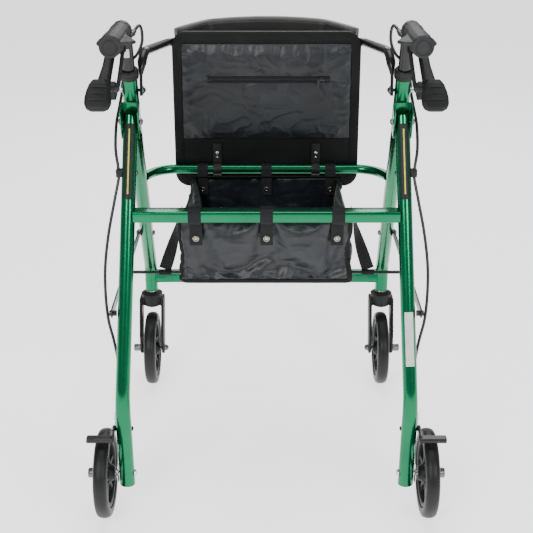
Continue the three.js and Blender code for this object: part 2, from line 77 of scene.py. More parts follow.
class Finish:
    def __init__(self, name):
        self.material = bpy.data.materials.new(name)
        self.material.use_nodes = True
        self.tree = self.material.node_tree
        self.tree.nodes.clear()
        self.place = self.add("ShaderNodeTexCoord", output="Object")

    def add(self, kind, settings=None, inputs=None, output=0):
        node = self.tree.nodes.new(kind)
        for key, value in (settings or {}).items():
            setattr(node, key, value)
        for key, value in (inputs or {}).items():
            if isinstance(value, Link):
                self.tree.links.new(value.socket, node.inputs[key])
            else:
                node.inputs[key].default_value = value
        return Link(self, node.outputs[output]) if node.outputs else None

    def noise(self, scale, detail=3, stretch=(1, 1, 1)):
        place = self.add("ShaderNodeMapping", None, {"Vector": self.place, "Scale": stretch})
        return self.add("ShaderNodeTexNoise", None, {"Vector": place, "Scale": scale, "Detail": detail})

    def band(self, value, low, high):
        # 0 below low, 1 above high
        return self.add("ShaderNodeMapRange", None, {"Value": value, "From Min": low, "From Max": high})

    def blend(self, factor, first, second):
        return self.add("ShaderNodeMix", {"data_type": "RGBA"},
                        {0: factor, 6: (*first, 1), 7: (*second, 1)}, output=2)

    def weave(self, pitch, direction):
        return self.add("ShaderNodeTexWave", {"bands_direction": direction},
                        {"Vector": self.place, "Scale": 0.314 / pitch, "Distortion": 0.6, "Detail Scale": 40})

    def cells(self, scale):
        return self.add("ShaderNodeTexVoronoi", {"feature": "DISTANCE_TO_EDGE"},
                        {"Vector": self.place, "Scale": scale})

    def surface(self, bump=None, strength=0.3, depth=0.0002, **values):
        inputs = {key.replace("_", " "): value for key, value in values.items()}
        if isinstance(inputs.get("Base Color"), tuple):
            inputs["Base Color"] = (*inputs["Base Color"], 1)
        if bump:
            inputs["Normal"] = self.add("ShaderNodeBump", None,
                                        {"Height": bump, "Strength": strength, "Distance": depth})
        shader = self.add("ShaderNodeBsdfPrincipled", None, inputs)
        self.add("ShaderNodeOutputMaterial", None, {"Surface": shader})
        return self.material


print("finishes")


def greenPaint():
    f = Finish("green_paint")
    flake = f.noise(1600, 2)
    cloud = f.noise(14, 2)
    colour = f.blend(f.band(flake * 0.45 + cloud * 0.55, 0.3, 0.7),
                     (0.0, 0.125, 0.048), (0.001, 0.18, 0.074))
    return f.surface(f.noise(240, 2), 0.05, 0.0001, Base_Color=colour, Metallic=0.9,
                     Roughness=0.2 + f.noise(60, 4) * 0.08, Coat_Weight=0.22, Coat_Roughness=0.05)


def blackPaint():
    f = Finish("black_paint")
    colour = f.blend(f.band(f.noise(30, 3), 0.3, 0.7), (0.0035, 0.0035, 0.004), (0.0075, 0.0075, 0.008))
    return f.surface(f.noise(300, 2), 0.06, 0.0001, Base_Color=colour, Metallic=0.2,
                     Roughness=0.24 + f.noise(80, 3) * 0.12, Coat_Weight=0.2, Coat_Roughness=0.1,
                     Specular_IOR_Level=0.35)


def blackPlastic():
    f = Finish("black_plastic")
    grain = f.noise(1900, 2)
    colour = f.blend(f.band(f.noise(26, 4), 0.3, 0.7), (0.0055, 0.0058, 0.0064), (0.011, 0.0115, 0.0125))
    return f.surface(grain, 0.25, 0.0002, Base_Color=colour,
                     Roughness=0.4 + f.noise(45, 4) * 0.16 + grain * 0.05, Specular_IOR_Level=0.28)


def gripRubber():
    f = Finish("grip_rubber")
    colour = f.blend(f.band(f.noise(50, 4), 0.35, 0.7), (0.0085, 0.009, 0.0098), (0.019, 0.0195, 0.021))
    return f.surface(f.noise(1300, 3), 0.35, 0.0003, Base_Color=colour,
                     Roughness=0.5 + f.noise(70, 3) * 0.14, Specular_IOR_Level=0.35)


def tyreRubber():
    f = Finish("tyre_rubber")
    dust = f.band(f.noise(22, 6), 0.48, 0.78)
    return f.surface(f.noise(900, 4), 0.2, 0.0002,
                     Base_Color=f.blend(dust, (0.0055, 0.0058, 0.0066), (0.013, 0.0132, 0.014)),
                     Roughness=0.42 + dust * 0.2, Specular_IOR_Level=0.3)


def steel(name, first, second, rough):
    f = Finish(name)
    brushed = f.noise(260, 3, (1, 12, 12))
    return f.surface(brushed, 0.1, 0.0001, Base_Color=f.blend(brushed, first, second),
                     Metallic=1.0, Roughness=rough + brushed * 0.16)


def nylon():
    f = Finish("bag_nylon")
    threads = f.weave(0.00055, "X") * 0.5 + f.weave(0.00055, "Z") * 0.5
    creaseAndShade = f.noise(26, 5, (1, 1, 1.5))
    # the crease noise also sets the colour, lighter on the raised folds and darker in their hollows: painted
    # highlight and painted shade on the creases
    colour = f.blend(f.band(creaseAndShade, 0.3, 0.72), (0.0062, 0.0078, 0.0102), (0.0135, 0.0162, 0.0205))
    return f.surface(threads * 0.1 + creaseAndShade * 1.2, 0.5, 0.0009, Base_Color=colour,
                     Roughness=0.25 + f.noise(70, 3) * 0.15, Specular_IOR_Level=0.42)


def vinyl():
    f = Finish("seat_vinyl")
    grain = f.band(f.cells(520), 0.0, 0.25)
    colour = f.blend(f.band(f.noise(18, 4), 0.3, 0.7), (0.0028, 0.003, 0.0032), (0.0062, 0.0065, 0.0068))
    return f.surface(grain, 0.35, 0.0002, Base_Color=colour, Roughness=0.4 + f.noise(40, 3) * 0.14,
                     Specular_IOR_Level=0.16)


def bandVinyl():
    f = Finish("band_vinyl")
    grain = f.band(f.cells(430), 0.0, 0.22)
    colour = f.blend(f.band(f.noise(12, 4), 0.3, 0.7), (0.0095, 0.009, 0.0085), (0.019, 0.018, 0.017))
    return f.surface(grain, 0.3, 0.0002, Base_Color=colour, Roughness=0.33 + f.noise(30, 3) * 0.12)


def webbing():
    f = Finish("webbing")
    ribsAndShade = f.weave(0.0011, "Z")
    fibres = f.weave(0.0007, "X")
    # the rib wave also sets the colour, darker in the grooves between ribs: painted shade; the noise part is
    # random tone
    colour = f.blend(ribsAndShade * 0.6 + f.noise(90, 3) * 0.4, (0.004, 0.0042, 0.005), (0.013, 0.0135, 0.015))
    return f.surface(ribsAndShade + fibres * 0.5, 0.5, 0.0004, Base_Color=colour,
                     Roughness=0.55 + f.noise(200, 2) * 0.1, Specular_IOR_Level=0.2)


def sheath():
    f = Finish("cable_sheath")
    return f.surface(f.noise(700, 2), 0.1, 0.0001, Roughness=0.3 + f.noise(50, 3) * 0.12,
                     Base_Color=f.blend(f.noise(40, 3), (0.009, 0.009, 0.01), (0.017, 0.017, 0.018)))


def printed(name, first, second):
    f = Finish(name)
    return f.surface(f.noise(900, 2), 0.08, 0.0001, Roughness=0.4 + f.noise(120, 3) * 0.12,
                     Specular_IOR_Level=0.25,
                     Base_Color=f.blend(f.band(f.noise(110, 4), 0.3, 0.7), first, second))


finishes = {
    "green": (greenPaint(), "green_paint"),
    "paint": (blackPaint(), "black_paint"),
    "plastic": (blackPlastic(), "black_plastic"),
    "rubber": (gripRubber(), "black_plastic"),
    "tyre": (tyreRubber(), "tyre_rubber"),
    "bright": (steel("bright_steel", (0.5, 0.5, 0.5), (0.68, 0.68, 0.67), 0.18), "dark_steel"),
    "snap": (steel("snap_metal", (0.3, 0.27, 0.23), (0.5, 0.46, 0.4), 0.16), "dark_steel"),
    "dark": (steel("dark_steel", (0.1, 0.105, 0.11), (0.2, 0.205, 0.215), 0.28), "dark_steel"),
    "nylon": (nylon(), "bag_nylon"),
    "vinyl": (vinyl(), "seat_vinyl"),
    "bandVinyl": (bandVinyl(), "seat_vinyl"),
    "webbing": (webbing(), "bag_nylon"),
    "sheath": (sheath(), "cable_sheath"),
    "white": (printed("white_label", (0.55, 0.55, 0.54), (0.68, 0.68, 0.67)), "black_plastic"),
    "yellow": (printed("yellow_line", (0.42, 0.44, 0.05), (0.56, 0.57, 0.09)), "green_paint"),
    "strip": (printed("dark_strip", (0.004, 0.009, 0.007), (0.009, 0.015, 0.012)), "green_paint"),
}

# shapes are given in millimetres and stored in metres


def dress(obj, finish, body=None, stands=()):
    material, slotName = finishes[finish]
    obj.data.materials.clear()
    obj.data.materials.append(material)
    for face in obj.data.polygons:
        face.use_smooth = True
    if stands:
        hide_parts(*stands)
    if body:
        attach(obj, body)
    return obj


def placed(name, data):
    obj = bpy.data.objects.new(name, data)
    bpy.context.scene.collection.objects.link(obj)
    return obj


def meshPiece(name, points, faces, finish, body=None, stands=()):
    mesh = bpy.data.meshes.new(name)
    mesh.from_pydata([tuple(Vector(p) * 0.001) for p in points], [], faces)
    mesh.validate()
    return dress(placed(name, mesh), finish, body, stands)


def settled(obj, *modifiers):
    # adds modifiers, each as (kind, {setting: value}), and keeps their result as the mesh
    for kind, settings in modifiers:
        modifier = obj.modifiers.new(kind.lower(), kind)
        for key, value in settings.items():
            setattr(modifier, key, value)
    bpy.context.view_layer.update()
    shown = obj.evaluated_get(bpy.context.evaluated_depsgraph_get())
    mesh = bpy.data.meshes.new_from_object(shown)
    obj.modifiers.clear()
    obj.data = mesh
    for face in mesh.polygons:
        face.use_smooth = True
    return obj


def creased(obj, angle=35):
    # sharp edges stay sharp under smooth shading
    form = bmesh.new()
    form.from_mesh(obj.data)
    for edge in form.edges:
        edge.smooth = len(edge.link_faces) == 2 and edge.calc_face_angle(0) < math.radians(angle)
    form.to_mesh(obj.data)
    form.free()
    return obj


def facedOut(obj):
    form = bmesh.new()
    form.from_mesh(obj.data)
    bmesh.ops.recalc_face_normals(form, faces=form.faces)
    form.to_mesh(obj.data)
    form.free()
    return obj


def cadCopy(node, name, finish, body, voxel=0, smoothing=6, bevel=0):
    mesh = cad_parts[node].data.copy()
    form = bmesh.new()
    form.from_mesh(mesh)
    bmesh.ops.remove_doubles(form, verts=form.verts, dist=1e-5)
    if bevel:
        bmesh.ops.dissolve_limit(form, angle_limit=0.02, verts=form.verts, edges=form.edges)
    form.to_mesh(mesh)
    form.free()
    obj = placed(name, mesh)
    if voxel:
        settled(obj, ("REMESH", {"mode": "VOXEL", "voxel_size": voxel * 0.001}),
                ("SMOOTH", {"factor": 0.5, "iterations": smoothing}))
    if bevel:
        settled(obj, ("BEVEL", {"width": bevel * 0.001, "segments": 3, "limit_method": "ANGLE",
                                "angle_limit": 0.6, "harden_normals": True}))
        creased(obj)
    return dress(obj, finish, body, [node])


def bend(corners, radius, steps=10):
    # straight stretches with every corner rounded
    corners = [Vector(c) for c in corners]
    path = [corners[0]]
    for before, corner, after in zip(corners, corners[1:], corners[2:]):
        back, ahead = (before - corner).normalized(), (after - corner).normalized()
        half = back.angle(ahead) / 2
        centre = corner + (back + ahead).normalized() * (radius / math.sin(half))
        start = corner + back * (radius / math.tan(half)) - centre
        end = corner + ahead * (radius / math.tan(half)) - centre
        turn = math.pi - 2 * half
        for step in range(steps + 1):
            part = step / steps
            mixed = start * math.sin((1 - part) * turn) + end * math.sin(part * turn)
            path.append(centre + mixed / math.sin(turn))
    return path + [corners[-1]]


def spaced(path, gap):
    # the same route with a point about every gap
    points = [Vector(p) for p in path]
    result = [points[0]]
    for a, b in zip(points, points[1:]):
        count = max(1, round((b - a).length / gap))
        result += [a.lerp(b, (i + 1) / count) for i in range(count)]
    return result


def curveThrough(stops, count):
    # a smooth line through every stop
    stops = [Vector(s) for s in stops]
    ends = [stops[0] * 2 - stops[1], *stops, stops[-1] * 2 - stops[-2]]
    line = []
    for a, b, c, d in zip(ends, ends[1:], ends[2:], ends[3:]):
        for i in range(count):
            t = i / count
            line.append(0.5 * (2 * b + (c - a) * t + (2 * a - 5 * b + 4 * c - d) * t * t
                               + (3 * b - a - 3 * c + d) * t ** 3))
    return line + [stops[-1]]


def ring(across, up=None, count=28):
    up = across if up is None else up
    return [(across * math.cos(2 * math.pi * i / count), up * math.sin(2 * math.pi * i / count))
            for i in range(count)]


def softBox(width, height, radius, steps=5):
    outline = []
    for corner in range(4):
        signs = (1 if corner in (0, 3) else -1, 1 if corner < 2 else -1)
        for step in range(steps + 1):
            angle = math.pi / 2 * (corner + step / steps)
            outline.append((signs[0] * (width / 2 - radius) + radius * math.cos(angle),
                            signs[1] * (height / 2 - radius) + radius * math.sin(angle)))
    return outline


def tubeFaces(rows, count):
    # two end caps and the sides between rows of points
    last = (rows - 1) * count
    faces = [tuple(reversed(range(count))), tuple(range(last, last + count))]
    for i in range(rows - 1):
        for j in range(count):
            k = (j + 1) % count
            faces.append((i * count + j, i * count + k, (i + 1) * count + k, (i + 1) * count + j))
    return faces


def sweep(name, path, section, finish, body=None, stands=(), across=(1, 0, 0), scales=None):
    # carries a section along a path, its first direction kept near across
    path = [Vector(p) for p in path]
    points, normal = [], Vector(across)
    for i, here in enumerate(path):
        before, after = path[max(i - 1, 0)], path[min(i + 1, len(path) - 1)]
        heading = (after - before).normalized()
        normal = (normal - heading * normal.dot(heading)).normalized()
        other = heading.cross(normal)
        wide, high = scales[i] if scales else (1, 1)
        points += [here + normal * (u * wide) + other * (v * high) for u, v in section]
    faces = tubeFaces(len(path), len(section))
    return creased(meshPiece(name, points, faces, finish, body, stands), 50)


def turned(name, profile, centre, finish, body=None, stands=(), axis=(1, 0, 0), count=40):
    # a lathe shape: its profile is a list of (distance along the axis, radius)
    along = Vector(axis).normalized()
    first = along.orthogonal().normalized()
    second = along.cross(first)
    closed = profile[0] == profile[-1]
    profile = profile[:-1] if closed else profile
    points, rows = [], []
    for distance, radius in profile:
        middle = Vector(centre) + along * distance
        if radius < 1e-6:
            rows.append([len(points)] * count)
            points.append(middle)
            continue
        rows.append(list(range(len(points), len(points) + count)))
        for i in range(count):
            angle = 2 * math.pi * i / count
            points.append(middle + (first * math.cos(angle) + second * math.sin(angle)) * radius)
    faces = []
    for a, b in zip(rows, rows[1:] + ([rows[0]] if closed else [])):
        for i in range(count):
            j = (i + 1) % count
            corners = list(dict.fromkeys((a[i], a[j], b[j], b[i])))
            if len(corners) > 2:
                faces.append(corners)
    return creased(facedOut(meshPiece(name, points, faces, finish, body, stands)), 32)


def outward(side, profile):
    # a turned profile measured from the middle of the walker, on either side
    return [(side * distance, radius) for distance, radius in profile]


def joined(name, objects, voxel, smoothing, finish, body=None, stands=()):
    # melts several solids into one moulding
    form = bmesh.new()
    for obj in objects:
        form.from_mesh(obj.data)
        bpy.data.objects.remove(obj)
    mesh = bpy.data.meshes.new(name)
    form.to_mesh(mesh)
    form.free()
    obj = placed(name, mesh)
    settled(obj, ("REMESH", {"mode": "VOXEL", "voxel_size": voxel * 0.001}),
            ("SMOOTH", {"factor": 0.5, "iterations": smoothing}))
    return dress(obj, finish, body, stands)


print("frame tubes")

legs = {
    "frontRadius": 13, "rearRadius": 12, "upperX": 221, "top": (-88.3, 722), "elbow": (-58.3, 635),
    "stem": (240.5, 267), "footBend": 250, "foot": 200, "pivot": (-97, 652),
    "knee": (236.5, -258, 215), "rearFoot": (238, -236.5, 53),
}


def upperAxis(side, z):
    # the handle tube's axis, which the front leg's top shares
    slope = (legs["top"][0] - legs["elbow"][0]) / (legs["top"][1] - legs["elbow"][1])
    return Vector((side * legs["upperX"], legs["elbow"][0] + (z - legs["elbow"][1]) * slope, z))


def frontLegAt(side, z):
    part = (legs["elbow"][1] - z) / (legs["elbow"][1] - legs["footBend"])
    top = Vector((side * legs["upperX"], legs["elbow"][0], legs["elbow"][1]))
    return top.lerp(Vector((side * legs["stem"][0], legs["stem"][1], legs["footBend"])), part)


def rearLegAt(side, z):
    part = (legs["pivot"][1] - z) / (legs["pivot"][1] - legs["knee"][2])
    top = Vector((side * legs["upperX"], *legs["pivot"]))
    return top.lerp(Vector((side * legs["knee"][0], *legs["knee"][1:])), part)


upAlong = (upperAxis(1, 800) - upperAxis(1, 700)).normalized()


def dome(radius, height, start=0, washer=0):
    # a rounded bolt head that stands from start
    profile = [(start, 0), (start, radius + washer)]
    if washer:
        profile += [(start + 0.9, radius + washer), (start + 1, radius)]
    return profile + [(start + height * math.sin(a), radius * math.cos(a))
                      for a in (0.25, 0.55, 0.85, 1.15, 1.4)] + [(start + height, 0)]


for name, side in sides.items():
    stem = (side * legs["stem"][0], legs["stem"][1])
    front = bend([upperAxis(side, legs["top"][1]), upperAxis(side, legs["elbow"][1]),
                  (*stem, legs["footBend"]), (*stem, legs["foot"])], 60, 12)
    sweep(f"leg_front_{name}", front, ring(legs["frontRadius"]), "green", "front_frame",
          [f"front_leg_{name}"])
    rear = spaced(bend([rearLegAt(side, legs["pivot"][1] + 9), (side * legs["knee"][0], *legs["knee"][1:]),
                        (side * legs["rearFoot"][0], *legs["rearFoot"][1:])], 120, 12), 14)
    # pressed a little flat from the knee down
    squeeze = [max(0, min(1, (235 - p.z) / 50)) for p in rear]
    scales = [(1 + 0.09 * s, 1 - 0.12 * s) for s in squeeze]
    sweep(f"leg_rear_{name}", rear, ring(legs["rearRadius"]), "green", "rear_frame",
          [f"rear_leg_{name}"], scales=scales)
    footEnd = Vector((side * legs["rearFoot"][0], *legs["rearFoot"][1:]))
    down = (rear[-1] - rear[-2]).normalized()
    turned(f"foot_plug_{name}", [(-4, 0), (-4, 10), (0, 10), (1.2, 9.2), (1.6, 0)], footEnd, "plastic",
           "rear_frame", axis=down)
    cadCopy(f"pivot_bracket_{name}", f"bracket_{name}", "green", "front_frame", bevel=0.9)
    turned(f"caster_ring_{name}", [(0, 9), (0, 13.4), (1.8, 13.8), (3, 12), (3, 9), (0, 9)],
           (*stem, 196.6), "bright", "front_frame", axis=(0, 0, 1))

hoop = {"radius": 8.5, "y": 92.6, "z": 514, "corner": 196, "bend": 55}
ends = [frontLegAt(side, hoop["z"]) for side in (-1, 1)]
inset = [end + Vector((-math.copysign(9, end.x), 3, 0)) for end in ends]
sweep("hoop", bend([inset[0], (-hoop["corner"], hoop["y"], hoop["z"]), (hoop["corner"], hoop["y"], hoop["z"]),
                    inset[1]], hoop["bend"], 12), ring(hoop["radius"]), "green", "front_frame",
      ["seat_hoop"], across=(0, 0, 1))

bars = {"beam": (-149, 509, 28, 19, 217), "crossbar": (267, 229, 16, 26, 232)}
for name, (y, z, depth, height, reach) in bars.items():
    moving = name == "beam"
    sweep(f"bar_{name}", spaced([(-reach, y, z), (reach, y, z)], 40), softBox(depth, height, 4),
          "green", "rear_frame" if moving else "front_frame",
          ["rear_beam" if moving else "lower_crossbar"], across=(0, 1, 0))

brace = {"z": 359, "frontY": 174.902, "kneeY": -29.098}
for name, side in sides.items():
    cadCopy(f"front_link_{name}", f"link_front_{name}", "paint", "brace_front", bevel=0.5)
    cadCopy(f"rear_link_{name}", f"link_rear_{name}", "paint", "brace_rear", bevel=0.5)
    for label, y, z, inner, outer, body, node in (
            ("brace", brace["frontY"], brace["z"], 222.4, 251.4, "front_frame", f"brace_bolt_{name}"),
            ("pivot", *legs["pivot"], 205.1, 236.9, "front_frame", f"pivot_bolt_{name}")):
        turned(f"{label}_bolt_{name}",
               outward(side, [(inner - 4.5, 0), (inner - 4, 3), (inner - 2.5, 5), (inner, 5.6), (inner, 3),
                              (outer, 3), (outer, 6), (outer + 2.6, 5), (outer + 4, 3), (outer + 4.5, 0)]),
               (0, y, z), "dark", body, [node], count=24)
rodProfile = [(-257, 0), (-257, 4), (-254.3, 5), (-254.3, 3), (254.3, 3), (254.3, 5), (257, 4), (257, 0)]
turned("rod", rodProfile,
       (0, brace["kneeY"], brace["z"]), "paint", "brace_front", ["cross_rod"], count=24)

print("wheels")

armPivot = (0, -247, 167)
wheel = {"radius": 76, "rearX": 274, "rearY": -239.5, "casterX": 240.5, "casterY": 239.5}
tyreEdge = [(9, 59), (11, 60.2), (11.9, 62.6), (12, 66), (11.6, 69.2), (10.5, 72), (8.4, 74.1), (5.4, 75.3),
            (2.5, 75.85)]
tyreProfile = [*[(-x, r) for x, r in tyreEdge], (0, 76), *reversed(tyreEdge), (-9, 59)]


def wheelParts(kind, name, centre, hubHalf, body):
    turned(f"tyre_{kind}_{name}", tyreProfile, centre, "tyre", body, [f"{kind}_tyre_{name}"], count=96)
    felloeProfile = [(-8.5, 51), (-9.3, 53), (-9.6, 58.7), (9.6, 58.7), (9.3, 53), (8.5, 51), (-8.5, 51)]
    felloe = turned("felloe", felloeProfile, centre, "plastic", count=80)
    hub = turned("hub", [(-hubHalf, 4.2), (-hubHalf, 11.5), (-hubHalf + 1.5, 12.4), (-8, 16), (8, 16),
                         (hubHalf - 1.5, 12.4), (hubHalf, 11.5), (hubHalf, 4.2), (-hubHalf, 4.2)],
                 centre, "plastic", count=48)
    spokes = []
    for i in range(6):
        way = Vector((0, math.cos(math.pi * i / 3), math.sin(math.pi * i / 3)))
        route = [Vector(centre) + way * r for r in (13, 22, 34, 46, 54)]
        spokes.append(sweep("spoke", route, softBox(10, 8.4, 2, 3), "plastic",
                            scales=[(1.5, 1.35), (1.1, 1.1), (1, 1), (1.05, 1.05), (1.3, 1.4)]))
    joined(f"rim_of_{kind}_{name}", [felloe, hub, *spokes], 1.3, 4, "plastic", body, [f"{kind}_rim_{name}"])


for name, side in sides.items():
    rearCentre = (side * wheel["rearX"], wheel["rearY"], wheel["radius"])
    casterCentre = (side * wheel["casterX"], wheel["casterY"], wheel["radius"])
    wheelParts("rear", name, rearCentre, 16, f"rear_wheel_{name}")
    wheelParts("caster", name, casterCentre, 15, f"caster_wheel_{name}")
    turned(f"axle_rear_{name}",
           outward(side, [(220, 0), (220.8, 3), (222.6, 5.6), (225, 6.5), (225, 4), (251.5, 4), (251.5, 16),
                          (253.3, 16), (253.3, 4), (291, 4), (291, 0)]),
           (0, wheel["rearY"], wheel["radius"]), "bright", "rear_frame", [f"rear_axle_{name}"])
    turned(f"axle_cap_rear_{name}",
           outward(side, [(291.2, 0), (291.2, 8.5), (301.5, 8.5), (303.2, 7.6), (303.2, 5), (302, 4.4),
                          (302, 0)]),
           (0, wheel["rearY"], wheel["radius"]), "dark", "rear_frame")
    turned(f"axle_caster_{name}",
           outward(side, [(-34, 0), (-33, 3.4), (-30.5, 5.6), (-26, 7), (-26, 4), (26, 4), (26, 7.5),
                          (37.6, 7.5), (39.2, 6.7), (39.2, 4.4), (38, 3.8), (38, 0)]),
           casterCentre, "dark", f"caster_{name}", [f"caster_axle_{name}"])
    cadCopy(f"caster_fork_{name}", f"fork_{name}", "plastic", f"caster_{name}", voxel=1.5, smoothing=8)
    turned(f"crown_lip_{name}",
           [(0, 12), (0, 20.5), (1.6, 21.9), (4.4, 21.9), (5.2, 19.5), (2.8, 14), (2.4, 12), (0, 12)],
           (side * legs["stem"][0], legs["stem"][1], 187), "plastic", f"caster_{name}", axis=(0, 0, 1),
           count=56)
    cadCopy(f"brake_arm_{name}", f"arm_brake_{name}", "paint", f"brake_arm_{name}", voxel=0.9, smoothing=3)
    turned(f"arm_bolt_{name}", outward(side, dome(4.6, 3, 255.6, 1.2)), armPivot, "bright",
           f"brake_arm_{name}", count=24)

print("handles")

handle = {"radius": 10.5, "bottom": 642, "z": 808, "endY": -283, "bend": 32, "knobZ": 700}
leverPivot = (0, -157, 781)
for name, side in sides.items():
    body = f"handle_{name}"
    route = bend([upperAxis(side, handle["bottom"]), upperAxis(side, handle["z"]),
                  (side * legs["upperX"], handle["endY"], handle["z"])], handle["bend"], 14)
    sweep(f"tube_handle_{name}", route, ring(handle["radius"]), "paint", body, [f"handle_tube_{name}"])
    cadCopy(f"grip_{name}", f"grip_cover_{name}", "rubber", body, voxel=1.1, smoothing=7)
    turned(f"grip_end_{name}",
           [(0, 0), (0, 15.2), (-1, 15.2), (-1.6, 13.6), (-1.6, 12), (-0.9, 11.2), (-0.9, 9.6), (-1.7, 8.8),
            (-2, 0)],
           (side * legs["upperX"], -288.2, handle["z"]), "rubber", body, axis=(0, 1, 0), count=44)
    cadCopy(f"brake_clamp_{name}", f"clamp_{name}", "plastic", body, voxel=1.1, smoothing=5)
    outer = sweep("outer", [(side * 238, -152, 785), (side * 238, -160, 779), (side * 239, -196, 760),
                            (side * 241, -226, 745), (side * 245, -244, 735)], softBox(15, 13, 4), "plastic",
                  scales=[(0.85, 0.75), (1, 1), (1.05, 1), (1.3, 0.95), (1.7, 0.8)])
    inner = sweep("inner", [(side * 219.6, -152, 785), (side * 219.6, -190, 762), (side * 219.8, -226, 742),
                            (side * 222, -236, 735)], softBox(4.8, 12, 1.6), "plastic")
    tie = sweep("tie", [(side * 218, -232, 738), (side * 232, -236, 737)], ring(5, 4.5, 16), "plastic",
                across=(0, 1, 0))
    boss = turned("boss", outward(side, [(230.8, 0), (230.8, 8.5), (246.6, 8.5), (246.6, 0)]), leverPivot,
                  "plastic")
    innerBoss = turned("innerBoss", outward(side, [(217.3, 0), (217.3, 8), (222, 8), (222, 0)]), leverPivot,
                       "plastic")
    slope = [(side * 247, y, z) for y, z in ((-232, 749), (-238, 743), (-246, 735.5), (-254, 727.5),
                                             (-261, 720), (-266, 714.5), (-269, 711.5))]
    paddle = sweep("paddle", slope, softBox(40, 12, 5, 4), "plastic",
                   scales=[(0.5, 0.6), (0.74, 0.95), (0.9, 1), (1.0, 1), (1.0, 1), (0.84, 0.85), (0.5, 0.5)])
    for part in (0.3, 0.5, 0.7):
        spot = Vector(slope[0]).lerp(Vector(slope[-1]), part) + Vector((0, -4.4, 4.2))
        sweep(f"paddle_rib_{round(part * 10)}_{name}",
              [spot + Vector((d, 0, 0.9 * math.cos(d / 9))) for d in range(-13, 14, 2)],
              ring(1.3, count=10), "plastic", f"brake_lever_{name}", across=(0, 1, 0))
    joined(f"lever_{name}", [outer, inner, tie, boss, innerBoss, paddle], 1.1, 6, "plastic",
           f"brake_lever_{name}", [f"brake_lever_{name}"])
    turned(f"pivot_pin_{name}", outward(side, dome(4.4, 2.4, 247.2, 1)), leverPivot, "bright",
           f"handle_{name}", count=24)
    cadCopy(f"height_knob_{name}", f"knob_{name}", "plastic", f"height_knob_{name}", voxel=1, smoothing=6)
    knobAt = upperAxis(side, handle["knobZ"])
    turned(f"knob_shaft_{name}", outward(side, [(234.2, 0), (234.2, 3.7), (243.4, 3.7), (243.4, 0)]),
           (0, knobAt.y, knobAt.z), "bright", f"height_knob_{name}", count=24)
    turned(f"knob_nut_{name}", [(side * (201 - d), r) for d, r in dome(6, 4.2, 0, 1.2)],
           (0, knobAt.y, knobAt.z), "dark", f"height_knob_{name}", count=24)
    top = upperAxis(side, legs["top"][1]) + upAlong * 0.3
    turned(f"collar_{name}",
           [(0, 10.8), (0, 15), (0.8, 15.7), (3, 16), (7, 16), (7.6, 15.5), (8.2, 16), (12.6, 16), (14.6, 15),
            (16, 13.4), (16, 10.8), (0, 10.8)],
           top, "plastic", "front_frame", [f"height_collar_{name}"], axis=upAlong, count=44)

print("seat")


def softened(obj, frames, pinned, pressure=0.0, growth=0.0, gravity=(0, 0, -9.8), weight=0.0, stiff=18,
             bending=0.6):
    # settles a mesh as cloth and keeps the result; growth above 0 gives slack
    group = obj.vertex_groups.new(name="held")
    group.add(pinned, 1.0, "REPLACE")
    cloth = obj.modifiers.new("cloth", "CLOTH")
    cloth.settings.quality = 6
    cloth.settings.mass = 0.25
    cloth.settings.tension_stiffness = stiff
    cloth.settings.compression_stiffness = stiff
    cloth.settings.shear_stiffness = stiff * 0.4
    cloth.settings.bending_stiffness = bending
    cloth.settings.shrink_min = -growth
    cloth.settings.vertex_group_mass = "held"
    cloth.settings.use_pressure = pressure > 0
    cloth.settings.uniform_pressure_force = pressure
    cloth.settings.effector_weights.gravity = weight
    cloth.point_cache.frame_start, cloth.point_cache.frame_end = 1, frames
    scene = bpy.context.scene
    scene.gravity = gravity
    for step in range(1, frames + 1):
        scene.frame_set(step)
    settled(obj)
    scene.frame_set(1)
    return obj


def crumpled(obj, amount, scale, slant=(1, 1, 1), offset=0.0):
    # sharp creases across cloth: thin ridges where a slanted noise passes through zero
    normals = [v.normal.copy() for v in obj.data.vertices]
    for vertex, normal in zip(obj.data.vertices, normals):
        x, y, z = (c * 1000 for c in vertex.co)
        place = Vector((x * slant[0] + z * 0.45, y * slant[1], z * slant[2] - x * 0.35)) / scale
        broad = noise.noise(place + Vector((offset, 0, 0)))
        twisted = noise.noise(place * 1.9 + Vector((broad * 1.6, offset, 4)))
        ridge = (1 - min(1, abs(twisted) * 3.2)) ** 2
        vertex.co += normal * (amount * (0.55 * ridge + 0.75 * broad) * 0.001)
    return obj


def ribbon(name, centres, wides, width, thick, finish, body=None, stands=()):
    # a strap: each centre has the direction that its width takes
    points = []
    centres = [Vector(c) for c in centres]
    for i, (here, wide) in enumerate(zip(centres, wides)):
        heading = (centres[min(i + 1, len(centres) - 1)] - centres[max(i - 1, 0)]).normalized()
        wide = Vector(wide)
        wide = (wide - heading * wide.dot(heading)).normalized()
        face = heading.cross(wide)
        for u, v in ((-1, -1), (-0.97, 1), (-0.8, 1.25), (0.8, 1.25), (0.97, 1), (1, -1), (0.8, -1.25),
                     (-0.8, -1.25)):
            points.append(here + wide * (u * width / 2) + face * (v * thick / 2))
    return creased(meshPiece(name, points, tubeFaces(len(centres), 8), finish, body, stands), 50)


def rimBand(name, outline, section, finish, body, stands=()):
    # a binding round an (x, z) outline: its section is a list of (inward, y)
    count, points = len(outline), []
    for i, (x, z) in enumerate(outline):
        (ax, az), (bx, bz) = outline[i - 1], outline[(i + 1) % count]
        out = Vector((bz - az, ax - bx)).normalized()
        points += [(x - out.x * inward, y, z - out.y * inward) for inward, y in section]
    size = len(section)
    faces = [(i * size + j, i * size + (j + 1) % size, (i + 1) % count * size + (j + 1) % size,
              (i + 1) % count * size + j) for i in range(count) for j in range(size)]
    return creased(facedOut(meshPiece(name, points, faces, finish, body, stands)), 50)


seat = {"width": 335, "bottom": 478, "top": 762, "back": 112, "corner": 26, "clipX": 90}
seatMiddle = (seat["bottom"] + seat["top"]) / 2
seatHeight = seat["top"] - seat["bottom"]
seatOutline = [(x, seatMiddle + z) for x, z in softBox(seat["width"], seatHeight, seat["corner"], 10)]

